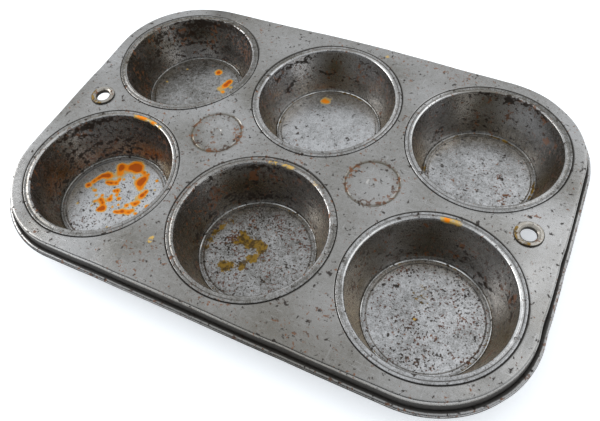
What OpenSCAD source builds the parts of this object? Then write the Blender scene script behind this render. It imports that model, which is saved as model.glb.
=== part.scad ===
// Six-cup muffin tin: a pressed sheet-steel plate, six drawn cups locked into it by folded seams,
// a wire in the rolled rim and two clinched eyelets to hang it by.
// Millimetres. +Z is up, z = 0 is the surface that the cups stand on, and the origin is under the middle.

/* [Layout] */
// Distance between the centres of neighbouring cups
cup_pitch = 88.8; // [88.4:0.1:92]
// Height of the plate's upper face above the table
plate_top = 25.8; // [20:0.1:32]
// Distance from a corner cup's centre to the plate's folded edge
fold_r = 47.8; // [47:0.1:52]

/* [Sheet metal] */
// Thickness of the plate and of the cups
sheet_t = 0.4; // [0.3:0.05:0.5]
// Gap left between parts that touch in a crimp
crimp_gap = 0.05; // [0.02:0.01:0.08]

/* [Cups] */
// Radius where the wall would meet the rim, at the middle of the sheet
mouth_r = 37.7; // [37.2:0.1:38]
// Radius where the wall would meet the base, at the middle of the sheet
base_r = 30.2; // [29:0.1:32]
// Bend radius between the wall and the base
foot_bend_r = 1.2; // [0.8:0.1:1.6]
// Radius at which the floor steps up
floor_step_r = 27.2; // [20:0.1:27.4]
// Height of the step in the floor
floor_step_h = 0.4; // [0.3:0.1:0.6]
// Height of the rim's inner lip above the plate
lip_h = 0.85; // [0.6:0.05:1.2]
// Height of the rim's outer ridge above the plate
ridge_h = 0.65; // [0.5:0.05:0.8]
// Depth below the plate's upper face of the groove between the lip and the ridge
groove_depth = 0.3; // [0:0.05:0.4]

/* [Folded seam] */
// Radius of the seam line between the cup and the plate
seam_r = 41.1; // [41:0.1:41.3]
// Depth of the fold below the plate's upper face
fold_depth = 3.8; // [3.4:0.1:5]

/* [Rolled rim] */
// Diameter of the wire inside the rolled rim
wire_d = 2.2; // [1.8:0.1:2.6]
// Depth of the wire's centre below the plate's upper face
wire_drop = 8.6; // [7:0.1:10]
// Outward slope of the skirt, in degrees from upright
skirt_slope = 4; // [0:0.5:8]
// Bend radius of the fold above the skirt, at the middle of the sheet
fold_bend_r = 1.0; // [0.6:0.1:1.5]

/* [Eyelets] */
// Distance from the middle of the plate to each eyelet
eyelet_x = 120; // [118:0.5:122]
// Radius of the hole through an eyelet
eyelet_bore_r = 3.7; // [3:0.1:4]
// Outer radius of an eyelet's domed head
eyelet_head_r = 6.8; // [6.4:0.1:7.2]
// Height of an eyelet's head above the plate
eyelet_head_h = 1.1; // [1:0.1:1.5]
// Thickness of an eyelet's sheet
eyelet_t = 0.3; // [0.2:0.05:0.4]

/* [Pressed rosettes] */
// Radius of the ring pressed round each rosette
rosette_r = 13.4; // [12:0.1:15]
// Depth of the pressed rings
press_depth = 0.35; // [0.2:0.05:0.5]

/* [Hidden] */
$fn = 96;

// Half the plate's centre-to-centre rectangle: the corner cups' centres
corner_x = cup_pitch;
corner_y = cup_pitch / 2;
// Degrees of turn for each step of a bend
bend_step = 30;

plate_mid = plate_top - sheet_t / 2;
// Flat part of the plate: it stops at these radii, where the bent sheet takes over
collar_flat_r = 43.6;
skirt_flat_r = fold_r - 2.6;
rosette_flat_r = rosette_r + 1.6;

// The fold's three layers, from outside: plate going down, cup going down, plate coming back up
layer_pitch = sheet_t + crimp_gap;
plate_leg_r = seam_r + sheet_t / 2;
cup_leg_r = plate_leg_r - layer_pitch;
return_leg_r = cup_leg_r - layer_pitch;
fold_floor = plate_top - fold_depth + sheet_t / 2;
cup_leg_end = fold_floor + layer_pitch - sheet_t / 4;
return_leg_end = plate_top - 1.1;

// Rolled rim: the skirt slopes out to meet the curl, which wraps the wire until it nears the skirt
skirt_mid_r = fold_r - sheet_t / 2;
curl_r = wire_d / 2 + crimp_gap + sheet_t / 2;
wire_z = plate_top - wire_drop;
curl_floor = wire_z - curl_r;
curl_corner_r = skirt_mid_r + (plate_mid - curl_floor) * tan(skirt_slope);
wire_path_r = curl_corner_r + curl_r * tan((90 - skirt_slope) / 2);
curl_tuck = curl_r * tan(45 / 2);

// Eyelet: a domed head, a straight barrel and a clinch rolled back up under the plate
eyelet_barrel_r = eyelet_bore_r + eyelet_t / 2;
plate_hole_r = eyelet_bore_r + eyelet_t + crimp_gap;
clinch_bend_r = 0.6;
clinch_top = plate_top - sheet_t - crimp_gap;
clinch_floor = clinch_top - 2 * clinch_bend_r;

// ---- Bent sheet in section -------------------------------------------------------------
// A section is a list of corners [r, z, bend radius]. The sheet's middle line runs through
// them, rounded at each corner, and ribbon() gives it the sheet's thickness.

function unit(v) = v / norm(v);
function left_of(v) = [-v.y, v.x];
function turned(v, a) = [v.x * cos(a) - v.y * sin(a), v.x * sin(a) + v.y * cos(a)];
function spot(corner) = [corner.x, corner.y];

// Points of one bend, each with the direction of its left-hand side
function bend(before, at, after) =
    let (
        u = unit(spot(at) - spot(before)),
        v = unit(spot(after) - spot(at)),
        angle = atan2(cross(u, v), u * v),
        side = sign(angle),
        start = spot(at) - u * at.z * tan(abs(angle) / 2),
        centre = start + left_of(u) * side * at.z,
        steps = max(1, ceil(abs(angle) / bend_step))
    )
    [for (i = [0 : steps])
        let (n = turned(left_of(u), angle * i / steps))
        [centre - n * side * at.z, n]
    ];

// The whole middle line, with both ends cut square
function middle_line(corners) =
    let (
        last = len(corners) - 1,
        first_side = left_of(unit(spot(corners[1]) - spot(corners[0]))),
        last_side = left_of(unit(spot(corners[last]) - spot(corners[last - 1])))
    )
    concat(
        [[spot(corners[0]), first_side]],
        [for (i = [1 : 1 : last - 1]) each bend(corners[i - 1], corners[i], corners[i + 1])],
        [[spot(corners[last]), last_side]]
    );

module ribbon(corners, t) {
    line = middle_line(corners);
    last = len(line) - 1;
    polygon(concat(
        [for (i = [0 : last]) line[i][0] + line[i][1] * t / 2],
        [for (i = [last : -1 : 0]) line[i][0] - line[i][1] * t / 2]
    ));
}

// Sections ------------------------------------------------------------------------------

function cup_section() = [
    [0, sheet_t / 2 + floor_step_h],
    [floor_step_r, sheet_t / 2 + floor_step_h, 0.9],
    [floor_step_r + floor_step_h, sheet_t / 2, 0.9],
    [base_r, sheet_t / 2, foot_bend_r],
    [mouth_r, plate_top + lip_h - sheet_t / 2, 0.85],
    [cup_leg_r - 1.4, plate_top - groove_depth, 0.45],
    [cup_leg_r, plate_top + ridge_h - sheet_t / 2, 0.4],
    [cup_leg_r, cup_leg_end]
];

function collar_section() = [
    [collar_flat_r, plate_mid],
    [plate_leg_r, plate_mid, 0.55],
    [plate_leg_r, fold_floor, layer_pitch],
    [return_leg_r, fold_floor, layer_pitch],
    [return_leg_r, return_leg_end]
];

function skirt_section() = [
    [skirt_flat_r, plate_mid],
    [skirt_mid_r, plate_mid, fold_bend_r],
    [curl_corner_r, curl_floor, curl_r],
    [wire_path_r + curl_r, curl_floor, curl_r],
    [wire_path_r + curl_r, wire_z + curl_r, curl_r],
    [wire_path_r - curl_tuck, wire_z + curl_r, curl_r],
    [wire_path_r - curl_tuck * (1 + sin(45)), wire_z + curl_r - curl_tuck * sin(45)]
];

// Two shallow rings pressed down round a flat middle
function rosette_section() = [
    [0, plate_mid - press_depth],
    [2.2, plate_mid - press_depth, 0.6],
    [3.0, plate_mid, 0.6],
    [rosette_r - 1.0, plate_mid, 0.6],
    [rosette_r - 0.4, plate_mid - press_depth, 0.5],
    [rosette_r + 0.2, plate_mid - press_depth, 0.5],
    [rosette_r + 0.8, plate_mid, 0.6],
    [rosette_flat_r, plate_mid]
];

// From the rim of the head, over the dome, down the barrel and round the clinch
function eyelet_section() = [
    [eyelet_head_r - eyelet_t / 2, plate_top],
    [eyelet_head_r - eyelet_t / 2, plate_top + eyelet_head_h - eyelet_t / 2, 0.9],
    [eyelet_barrel_r, plate_top + eyelet_head_h - eyelet_t / 2, 0.7],
    [eyelet_barrel_r, clinch_floor, clinch_bend_r],
    [eyelet_barrel_r + 2 * clinch_bend_r, clinch_floor, clinch_bend_r],
    [eyelet_barrel_r + 2 * clinch_bend_r, clinch_top]
];

// Shapes that follow the outline ---------------------------------------------------------

// Solid of the section that lies beyond the corner cups' centres, all the way round the tin
module around_outline() {
    for (sx = [-1, 1], sy = [-1, 1])
        translate([sx * corner_x, sy * corner_y, 0])
            rotate([0, 0, sx > 0 ? (sy > 0 ? 0 : -90) : (sy > 0 ? 90 : 180)])
                rotate_extrude(angle = 90) children();
    for (side = [0, 180]) {
        rotate([0, 0, side]) translate([corner_x, corner_y, 0])
            rotate([90, 0, 0]) linear_extrude(2 * corner_y) children();
        rotate([0, 0, side]) translate([-corner_x, corner_y, 0])
            rotate([90, 0, 90]) linear_extrude(2 * corner_x) children();
    }
}

module rounded_outline(r) {
    square([2 * (corner_x + r), 2 * corner_y], center = true);
    square([2 * corner_x, 2 * (corner_y + r)], center = true);
    for (sx = [-1, 1], sy = [-1, 1])
        translate([sx * corner_x, sy * corner_y]) circle(r);
}

module at_cups() {
    for (column = [-1 : 1], row = [-1, 1])
        translate([column * cup_pitch, row * cup_pitch / 2, 0]) children();
}

module at_rosettes() {
    for (side = [-1, 1]) translate([side * cup_pitch / 2, 0, 0]) children();
}

module at_eyelets() {
    for (side = [-1, 1]) translate([side * eyelet_x, 0, 0]) children();
}

// Parts -----------------------------------------------------------------------------------

module flat_sheet() {
    translate([0, 0, plate_top - sheet_t]) linear_extrude(sheet_t)
        difference() {
            rounded_outline(skirt_flat_r);
            at_cups() circle(collar_flat_r);
            at_rosettes() circle(rosette_flat_r);
            at_eyelets() circle(plate_hole_r);
        }
}

module plate() color([0.55, 0.56, 0.56]) {
    flat_sheet();
    at_cups() rotate_extrude() ribbon(collar_section(), sheet_t);
    at_rosettes() rotate_extrude() ribbon(rosette_section(), sheet_t);
    around_outline() ribbon(skirt_section(), sheet_t);
}

module rim_wire() color([0.36, 0.34, 0.32])
    around_outline() translate([wire_path_r, wire_z]) circle(d = wire_d);

// column is -1, 0 or 1 from left to right, and row is -1 at the front or 1 at the back
module cup(column, row) color([0.50, 0.50, 0.50])
    translate([column * cup_pitch, row * cup_pitch / 2, 0])
        rotate_extrude() ribbon(cup_section(), sheet_t);

module eyelet(side) color([0.66, 0.62, 0.55])
    translate([side * eyelet_x, 0, 0])
        rotate_extrude() ribbon(eyelet_section(), eyelet_t);

plate();
rim_wire();
cup(-1, -1);  // cup_front_left
cup(0, -1);  // cup_front_middle
cup(1, -1);  // cup_front_right
cup(-1, 1);  // cup_back_left
cup(0, 1);  // cup_back_middle
cup(1, 1);  // cup_back_right
eyelet(-1);  // eyelet_left
eyelet(1);  // eyelet_right
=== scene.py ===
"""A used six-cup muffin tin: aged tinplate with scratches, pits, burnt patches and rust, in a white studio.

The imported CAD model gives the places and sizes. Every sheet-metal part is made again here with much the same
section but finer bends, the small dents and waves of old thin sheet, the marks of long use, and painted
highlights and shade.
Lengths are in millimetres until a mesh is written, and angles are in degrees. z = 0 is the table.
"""

import math

import bmesh
import bpy
import numpy as np
from mathutils import Matrix, Vector
from mathutils.geometry import delaunay_2d_cdt


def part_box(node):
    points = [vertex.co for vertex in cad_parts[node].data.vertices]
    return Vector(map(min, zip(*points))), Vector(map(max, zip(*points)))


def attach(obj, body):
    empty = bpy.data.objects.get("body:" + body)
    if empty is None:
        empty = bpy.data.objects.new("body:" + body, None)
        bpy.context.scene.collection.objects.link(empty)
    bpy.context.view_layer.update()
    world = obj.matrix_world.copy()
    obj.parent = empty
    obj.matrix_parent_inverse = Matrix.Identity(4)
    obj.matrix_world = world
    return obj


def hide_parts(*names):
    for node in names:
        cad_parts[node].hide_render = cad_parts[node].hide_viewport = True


MM = 0.001

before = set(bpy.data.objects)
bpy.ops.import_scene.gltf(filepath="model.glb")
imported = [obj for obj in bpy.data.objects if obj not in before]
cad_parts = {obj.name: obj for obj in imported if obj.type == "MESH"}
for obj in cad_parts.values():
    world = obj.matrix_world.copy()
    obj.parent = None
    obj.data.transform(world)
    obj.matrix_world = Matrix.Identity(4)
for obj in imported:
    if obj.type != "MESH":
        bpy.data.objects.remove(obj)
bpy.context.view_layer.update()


def node_box(name):
    """A CAD node's lowest and highest corners, in millimetres."""
    low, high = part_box(name)
    return np.array(low) / MM, np.array(high) / MM


# ---- Sizes, from the CAD model ----

SHEET_T = 0.4
EYELET_T = 0.3
CRIMP_GAP = 0.05

ROWS = ("front", "back")
COLUMNS = ("left", "middle", "right")
CUPS = [f"cup_{row}_{column}" for row in ROWS for column in COLUMNS]
EYELETS = ["eyelet_left", "eyelet_right"]


def middle(name):
    low, high = node_box(name)
    return (low + high) / 2


CENTRES = {name: middle(name)[:2] for name in CUPS + EYELETS}
cup_low, cup_high = node_box("cup_front_left")
wire_low, wire_high = node_box("rim_wire")
eyelet_low, eyelet_high = node_box("eyelet_left")

PLATE_TOP = node_box("plate")[1][2]
PITCH = CENTRES["cup_front_right"][0]
CORNER_X = PITCH
CORNER_Y = PITCH / 2
ROSETTES = [np.array([side * PITCH / 2, 0.0]) for side in (-1, 1)]

CUP_LEG_R = (cup_high[0] - cup_low[0] - SHEET_T) / 2
LAYER_PITCH = SHEET_T + CRIMP_GAP
RIM_TOP = cup_high[2]

WIRE_R = (wire_high[2] - wire_low[2]) / 2
WIRE_Z = (wire_high[2] + wire_low[2]) / 2
WIRE_PATH_R = wire_high[0] - WIRE_R - CORNER_X
CURL_R = WIRE_R + CRIMP_GAP + SHEET_T / 2
SKIRT_SLOPE = 4.0

EYELET_R = (eyelet_high[0] - eyelet_low[0]) / 2
EYELET_TOP = eyelet_high[2]
BORE_R = 3.7

# A cup's section: its foot, the step in its floor, its mouth and the groove in its rim
BASE_R, MOUTH_R = 30.2, 37.7
STEP_R, STEP_H = 27.2, 0.4
GROOVE_R = CUP_LEG_R - 1.4

# Where the flat of the plate stops and the bent sheet takes over
COLLAR_FLAT_R = CUP_LEG_R + 2.75
ROSETTE_R = 13.4
ROSETTE_FLAT_R = ROSETTE_R + 1.6
ROSETTE_DEPTH = 0.35

# How finely bends and the plate's edge are divided
COARSE_BEND = 15
RIM_SPACING = 2.0


def tan(degrees):
    return math.tan(math.radians(degrees))


# ---- Sections of bent sheet ----


def middle_line(corners, bend_step=9.0):
    """Points and left-hand sides along a bent sheet's middle line.

    Each corner is (r, z, bend radius), and the first and last have no bend."""
    spots = [np.array(corner[:2], float) for corner in corners]
    units = [(b - a) / np.linalg.norm(b - a) for a, b in zip(spots, spots[1:])]
    left = [np.array([-u[1], u[0]]) for u in units]
    line = [(spots[0], left[0])]
    for i in range(1, len(spots) - 1):
        u, v, radius = units[i - 1], units[i], corners[i][2]
        angle = math.atan2(u[0] * v[1] - u[1] * v[0], float(u @ v))
        side = math.copysign(1, angle)
        start = spots[i] - u * radius * math.tan(abs(angle) / 2)
        centre = start + left[i - 1] * side * radius
        steps = max(2, math.ceil(math.degrees(abs(angle)) / bend_step))
        for k in range(steps + 1):
            a = angle * k / steps
            n = np.array([
                left[i - 1][0] * math.cos(a) - left[i - 1][1] * math.sin(a),
                left[i - 1][0] * math.sin(a) + left[i - 1][1] * math.cos(a),
            ])
            line.append((centre - n * side * radius, n))
    line.append((spots[-1], left[-1]))
    return line


def subdivided(line, spacing):
    """The same line with extra points, so that no step is longer than spacing."""
    out = [line[0]]
    for (a, m), (b, n) in zip(line, line[1:]):
        steps = max(1, math.ceil(np.linalg.norm(b - a) / spacing))
        for k in range(1, steps + 1):
            t = k / steps
            side = m + (n - m) * t
            out.append((a + (b - a) * t, side / np.linalg.norm(side)))
    return out


def section(corners, thickness, spacing, bend_step=9.0, back_spacing=None):
    """The outline of a bent sheet: along its left side, and back along its right."""
    line = middle_line(corners, bend_step)
    near = subdivided(line, spacing)
    far = subdivided(line, back_spacing or spacing)
    front = [p + n * thickness / 2 for p, n in near]
    back = [p - n * thickness / 2 for p, n in reversed(far)]
    return np.array(front + back)


def cup_corners():
    floor = SHEET_T / 2
    return [
        (0, floor + STEP_H), (STEP_R, floor + STEP_H, 0.9), (STEP_R + STEP_H, floor, 0.9),
        (BASE_R, floor, 1.2), (MOUTH_R, RIM_TOP - SHEET_T / 2, 0.85), (GROOVE_R, PLATE_TOP - 0.3, 0.45),
        (CUP_LEG_R, RIM_TOP - 0.2 - SHEET_T / 2, 0.4), (CUP_LEG_R, PLATE_TOP - 3.25),
    ]


def collar_corners():
    outer = CUP_LEG_R + LAYER_PITCH
    inner = CUP_LEG_R - LAYER_PITCH
    flat = PLATE_TOP - SHEET_T / 2
    floor = PLATE_TOP - 3.6
    return [
        (COLLAR_FLAT_R, flat), (outer, flat, 0.55), (outer, floor, LAYER_PITCH),
        (inner, floor, LAYER_PITCH), (inner, PLATE_TOP - 1.1),
    ]


def skirt_corners():
    flat = PLATE_TOP - SHEET_T / 2
    curl_floor = WIRE_Z - CURL_R
    curl_corner = WIRE_PATH_R - CURL_R * tan((90 - SKIRT_SLOPE) / 2)
    fold = curl_corner - (flat - curl_floor) * tan(SKIRT_SLOPE)
    tuck = CURL_R * tan(22.5)
    slant = math.sin(math.radians(45))
    return [
        (fold - 2.4, flat), (fold, flat, 1.0), (curl_corner, curl_floor, CURL_R),
        (WIRE_PATH_R + CURL_R, curl_floor, CURL_R), (WIRE_PATH_R + CURL_R, WIRE_Z + CURL_R, CURL_R),
        (WIRE_PATH_R - tuck, WIRE_Z + CURL_R, CURL_R),
        (WIRE_PATH_R - tuck * (1 + slant), WIRE_Z + CURL_R - tuck * slant),
    ]


SKIRT_FLAT_R = skirt_corners()[0][0]
FOLD_R = skirt_corners()[1][0] + SHEET_T / 2


def rosette_corners():
    flat = PLATE_TOP - SHEET_T / 2
    pressed = flat - ROSETTE_DEPTH
    return [
        (0, pressed), (2.2, pressed, 0.6), (3.0, flat, 0.6), (ROSETTE_R - 1.0, flat, 0.6),
        (ROSETTE_R - 0.4, pressed, 0.5), (ROSETTE_R + 0.2, pressed, 0.5), (ROSETTE_R + 0.8, flat, 0.6),
        (ROSETTE_FLAT_R, flat),
    ]


def eyelet_corners():
    barrel = BORE_R + EYELET_T / 2
    rim = EYELET_R - EYELET_T / 2
    top = EYELET_TOP - EYELET_T / 2
    clinch_top = PLATE_TOP - SHEET_T - CRIMP_GAP
    bend = 0.6
    return [
        (rim, PLATE_TOP), (rim, top, 0.55), (5.0, top, 0.7), (barrel, top - 0.75, 0.7),
        (barrel, clinch_top - 2 * bend, bend), (barrel + 2 * bend, clinch_top - 2 * bend, bend),
        (barrel + 2 * bend, clinch_top),
    ]


# ---- Small waves and dents of thin, used sheet ----


class Ripple:
    """A smooth, repeatable random wave over the plane, about 1 high at its crests."""

    def __init__(self, seed, wavelength, waves=7):
        random = np.random.default_rng(seed)
        turn = random.uniform(0, 2 * math.pi, waves)
        size = 2 * math.pi / (wavelength * random.uniform(0.7, 1.5, waves))
        self.kx, self.ky = size * np.cos(turn), size * np.sin(turn)
        self.phase = random.uniform(0, 2 * math.pi, waves)
        self.waves = waves

    def __call__(self, x, y):
        angle = np.multiply.outer(x, self.kx) + np.multiply.outer(y, self.ky) + self.phase
        return np.sin(angle).sum(-1) / math.sqrt(self.waves)


sag = Ripple(3, 130)
buckle = Ripple(5, 34)
sway_x = Ripple(7, 95)
sway_y = Ripple(8, 95)

# (x, y, radius, depth): dents in the plate, and the broad sag of its two back corners
DENTS = [
    (-105, -84, 9, 0.5), (-62, -86, 7, 0.35), (20, -87, 10, 0.3), (46, -20, 12, -0.25), (-43, 26, 10, 0.25),
    (128, -52, 7, 0.5), (132, -22, 6, 0.45), (118, -74, 8, 0.4), (126, 34, 9, 0.4), (60, 86, 10, 0.4),
    (-128, 30, 8, 0.35), (-22, 84, 9, -0.3), (-103, 90, 52, 2.6), (96, 72, 42, 1.4),
]
# (x, y, radius, push): knocks in the rim, pushed in towards the middle of the tin
KNOCKS = [
    (139, -40, 6, 0.7), (139, -8, 5, 0.5), (132, -78, 7, 0.6), (-60, -95, 9, 0.5), (40, -95, 7, 0.4),
    (-139, 20, 8, 0.5), (120, 88, 8, 0.6), (-100, 92, 9, 0.5),
]


def worn(points):
    """The points, shifted as the real sheet has moved. The cups' feet stay on the table."""
    x, y, z = points.T
    height = np.clip(z / PLATE_TOP, 0, 1) ** 2
    lift = 0.28 * sag(x, y) + 0.07 * buckle(x, y) - blots(x, y, DENTS)
    push_x = 0.22 * sway_x(x, y)
    push_y = 0.22 * sway_y(x, y)
    for dx, dy, radius, push in KNOCKS:
        share = push * np.exp(-((x - dx) ** 2 + (y - dy) ** 2) / radius**2)
        away = math.hypot(dx, dy)
        push_x = push_x - share * dx / away
        push_y = push_y - share * dy / away
    return points + np.stack([push_x * height, push_y * height, lift * height], 1)


# (x, y, shrink) of a cup's foot, which wasn't pressed quite true to its mouth
FOOT_SHIFT = {
    "cup_front_left": (0.3, -1.2, 0.4), "cup_back_left": (0.2, -1.7, 1.3),
    "cup_front_middle": (0, 0, 0), "cup_back_middle": (-0.2, -0.2, 0.2),
    "cup_front_right": (-0.5, 0, 0), "cup_back_right": (-0.9, -0.8, 0.8),
}


def out_of_true(points, name):
    """A cup's points, with its foot shifted and shrunk and its mouth kept."""
    shift_x, shift_y, shrink = FOOT_SHIFT[name]
    depth = np.clip(1 - points[:, 2] / (PLATE_TOP - 4), 0, 1)
    x, y = (points[:, :2] - CENTRES[name]).T
    r = np.maximum(np.hypot(x, y), 1)
    inwards = shrink * np.clip(r / BASE_R, 0, 1) * depth
    moved = points.copy()
    moved[:, 0] += shift_x * depth - inwards * x / r
    moved[:, 1] += shift_y * depth - inwards * y / r
    return moved


# ---- Meshes ----


def add_object(name, data):
    made = bpy.data.objects.new(name, data)
    bpy.context.scene.collection.objects.link(made)
    return made


class Sheet:
    """Vertices and faces of one piece, collected strip by strip."""

    def __init__(self):
        self.points = []
        self.faces = []
        self.count = 0

    def add(self, points, faces):
        self.points.append(np.asarray(points, float))
        self.faces += [tuple(i + self.count for i in face) for face in faces]
        self.count += len(points)

    def sweep(self, outline, stations, closed_outline):
        """The (r, z) outline carried round the stations, each (x, y, outward x, outward y)."""
        n, m = len(stations), len(outline)
        r, z = outline[:, 0], outline[:, 1]
        x = stations[:, None, 0] + stations[:, None, 2] * r
        y = stations[:, None, 1] + stations[:, None, 3] * r
        points = np.stack([x, y, np.broadcast_to(z, x.shape)], -1).reshape(-1, 3)
        last = m if closed_outline else m - 1
        faces = [
            (k * m + i, (k + 1) % n * m + i, (k + 1) % n * m + (i + 1) % m, k * m + (i + 1) % m)
            for k in range(n)
            for i in range(last)
        ]
        self.add(points, faces)

    def points_array(self):
        return np.concatenate(self.points)

    def build(self, name, merge=1e-4):
        """A Blender object in metres, worn and with its doubled vertices joined."""
        points = worn(self.points_array())
        mesh = bpy.data.meshes.new(name)
        mesh.from_pydata(points * MM, [], self.faces)
        bm = bmesh.new()
        bm.from_mesh(mesh)
        bmesh.ops.remove_doubles(bm, verts=bm.verts, dist=merge * MM)
        bmesh.ops.recalc_face_normals(bm, faces=bm.faces)
        for face in bm.faces:
            face.smooth = True
        bm.to_mesh(mesh)
        bm.free()
        mesh.set_sharp_from_angle(angle=math.radians(50))
        return add_object(name, mesh)


def ring_stations(centre, count):
    turn = np.linspace(0, 2 * math.pi, count, endpoint=False)
    x, y = np.broadcast_to(centre[0], count), np.broadcast_to(centre[1], count)
    return np.stack([x, y, np.cos(turn), np.sin(turn)], 1)


def outline_stations(spacing):
    """Stations round the tin: quarter circles about the corner cups' centres, joined by straights."""
    stations = []
    corners = [(CORNER_X, -CORNER_Y, -90), (CORNER_X, CORNER_Y, 0), (-CORNER_X, CORNER_Y, 90),
               (-CORNER_X, -CORNER_Y, 180)]
    arc_steps = math.ceil(FOLD_R * math.pi / 2 / spacing)
    for i, (x, y, start) in enumerate(corners):
        for k in range(arc_steps + 1):
            a = math.radians(start + 90 * k / arc_steps)
            stations.append((x, y, math.cos(a), math.sin(a)))
        next_x, next_y, _ = corners[(i + 1) % 4]
        run = math.hypot(next_x - x, next_y - y)
        a = math.radians(start + 90)
        steps = math.ceil(run / spacing)
        for k in range(1, steps):
            t = k / steps
            stations.append((x + (next_x - x) * t, y + (next_y - y) * t, math.cos(a), math.sin(a)))
    return np.array(stations)


def attribute(piece, name, values):
    """Stores one number per vertex for the materials to read."""
    layer = piece.data.attributes.new(name, "FLOAT", "POINT")
    layer.data.foreach_set("value", np.asarray(values, np.float32))


def normals(piece):
    """Each vertex's normal."""
    flat = np.zeros(len(piece.data.vertices) * 3)
    piece.data.vertex_normals.foreach_get("vector", flat)
    return flat.reshape(-1, 3)


def vertices(piece):
    """Each vertex's place, in millimetres."""
    co = np.empty(len(piece.data.vertices) * 3)
    piece.data.vertices.foreach_get("co", co)
    return co.reshape(-1, 3) / MM


def beyond_corners(x, y):
    """Distance outside the rectangle that joins the corner cups' centres."""
    return np.hypot(np.maximum(np.abs(x) - CORNER_X, 0), np.maximum(np.abs(y) - CORNER_Y, 0))


def smooth(value, low, high):
    t = np.clip((value - low) / (high - low), 0, 1)
    return t * t * (3 - 2 * t)


def hill(value, middle, width):
    """1 where the value is middle, falling smoothly to 0 on either side."""
    return np.exp(-(((value - middle) / width) ** 2))


def blots(x, y, spots):
    """The round spots (x, y, radius, strength) as hills that run together where they meet."""
    field = np.zeros_like(x)
    for sx, sy, radius, strength in spots:
        field = field + strength * np.exp(-((x - sx) ** 2 + (y - sy) ** 2) / radius**2)
    return field


# ---- Marks of use, painted highlights and painted shade, by cup ----
# Places are in millimetres from the cup's centre, +X to the right and +Y to the back.

# (x, y, radius, strength) of rust on a floor: full strength is orange, and a third of it is a yellow stain
RUST = {
    "cup_front_left": [
        (-1, 22, 4.0, 1.1), (1.5, 20.5, 2.6, 0.9), (-3.5, 20, 2.5, 0.6), (-9, 18.5, 2.6, 1.2),
        (-8, 15.5, 2, 0.45), (-5.5, 14.5, 3, 0.4), (-8, 12, 2.5, 0.3), (-12.6, 10.2, 2.6, 1.2),
        (-15.6, 9, 1.5, 0.9), (-16.7, 6.8, 1.5, 1), (-17.8, 4, 1.6, 1), (-19.2, 0.4, 1.8, 1.2),
        (-15, -0.8, 1.6, 0.4), (-8.1, 6.5, 1.9, 1), (-10.4, 6, 1.1, 0.8), (-5.1, 7.6, 1.7, 0.9),
        (-4.8, 10.4, 1.1, 0.8), (-2.4, 11.4, 0.9, 0.6), (2, 14.5, 1.2, 0.5), (7.6, 13, 3.1, 1.2),
        (8.2, 16.5, 2.4, 0.8), (10, 9.5, 1.8, 0.6), (5.8, 19.8, 1.2, 0.9), (8.6, 19.5, 1, 0.8),
        (15.7, 17.8, 1.2, 0.7), (18.1, 12, 1, 0.5), (13.6, 6.2, 2.0, 1.1), (14.3, 9.3, 1.4, 0.9),
        (12, 3.6, 2, 0.35), (13, -0.3, 1.8, 1), (14.3, 1.6, 1.2, 0.6), (9.2, -2.8, 1.3, 1),
        (10.6, -0.6, 0.9, 0.5), (9.2, -6.9, 1.8, 1.1), (7, -8.4, 1.3, 0.9), (12.8, -6, 1.7, 1),
        (14.2, -4, 1.1, 0.7), (16.9, -5.4, 1.1, 0.9), (20, 1, 1.3, 0.9), (21.2, 2.8, 0.9, 0.6),
        (-1.4, 3.6, 1.7, 1), (-3.2, 2.6, 1, 0.7), (0.1, 0.9, 1, 0.9), (2.5, -0.7, 1.2, 1), (-2, -3, 1.7, 1),
        (-2.6, -0.6, 1, 0.7), (-7.5, -2.2, 0.9, 0.9), (-6.4, -5.2, 2, 1), (-4.2, -6.4, 1.1, 0.7),
        (-3.5, -8, 2, 0.35), (-1.8, -9.5, 2, 1.15), (-3.8, -11, 1.4, 0.9), (4.7, -4.2, 0.9, 0.8),
        (2.4, -6.6, 1, 0.6), (5.2, -8.7, 1.1, 0.7), (-13.2, -1.2, 1.1, 0.7), (-10.8, -3.6, 1.1, 0.6),
        (-9.3, -7.4, 1.3, 0.55), (-9, -10.2, 1.1, 0.45), (-17.6, -12, 1.2, 0.4), (7.5, -18.8, 1, 0.5),
    ],
    "cup_back_left": [
        (5.4, 16.5, 2.2, 1.2), (16, 11.8, 1.9, 1.2), (15.2, 8.6, 2, 1.1), (19.4, 7.6, 1.4, 0.5),
        (14.5, 6, 2.5, 0.35), (16.3, 2.5, 1.5, 0.7), (12.7, 3.6, 2.2, 0.32), (-15, 11.8, 1.1, 0.4),
        (-21.6, -2.2, 1.3, 0.42),
    ],
    "cup_back_middle": [(-11, 17.8, 2.4, 0.62), (-8.5, 18, 1.5, 0.5), (-9.4, 21.5, 3, 0.3)],
    "cup_front_right": [(-4.4, -3.7, 0.9, 0.45)],
}
# (x, y, radius, strength) of olive-brown stains on a floor
OCHRE = {
    "cup_front_middle": [
        (-11.6, 5.6, 2.6, 0.9), (-12.6, 0.4, 2.4, 0.7), (-9, 3, 2.4, 0.8), (-6.5, 2.4, 3.2, 1),
        (-2, 3.4, 2.8, 1), (1.6, 3.6, 2.4, 0.9), (1.8, 0.8, 2.2, 0.9), (0.8, -3.2, 2.1, 0.9),
        (-1.7, -5.7, 2.4, 0.9), (-3.2, -9.9, 2.2, 0.9), (-3, -11.9, 1.7, 0.8), (-8.5, -12.1, 2.2, 0.9),
        (-12.9, -13.6, 2.6, 1), (-9.9, -15.5, 2, 0.8), (1.8, -5.8, 1.4, 0.8), (5.5, -4, 1.3, 0.8),
        (-21, 11.5, 3, 0.55), (-24, 6, 2.4, 0.8), (-25.6, 1, 2, 1), (-26.2, -3.5, 2, 0.9),
        (-25.6, -8.5, 1.8, 0.8),
    ],
    "cup_front_right": [(-3, 7, 7, 0.25), (-7, 10, 5, 0.25)],
}
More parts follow.
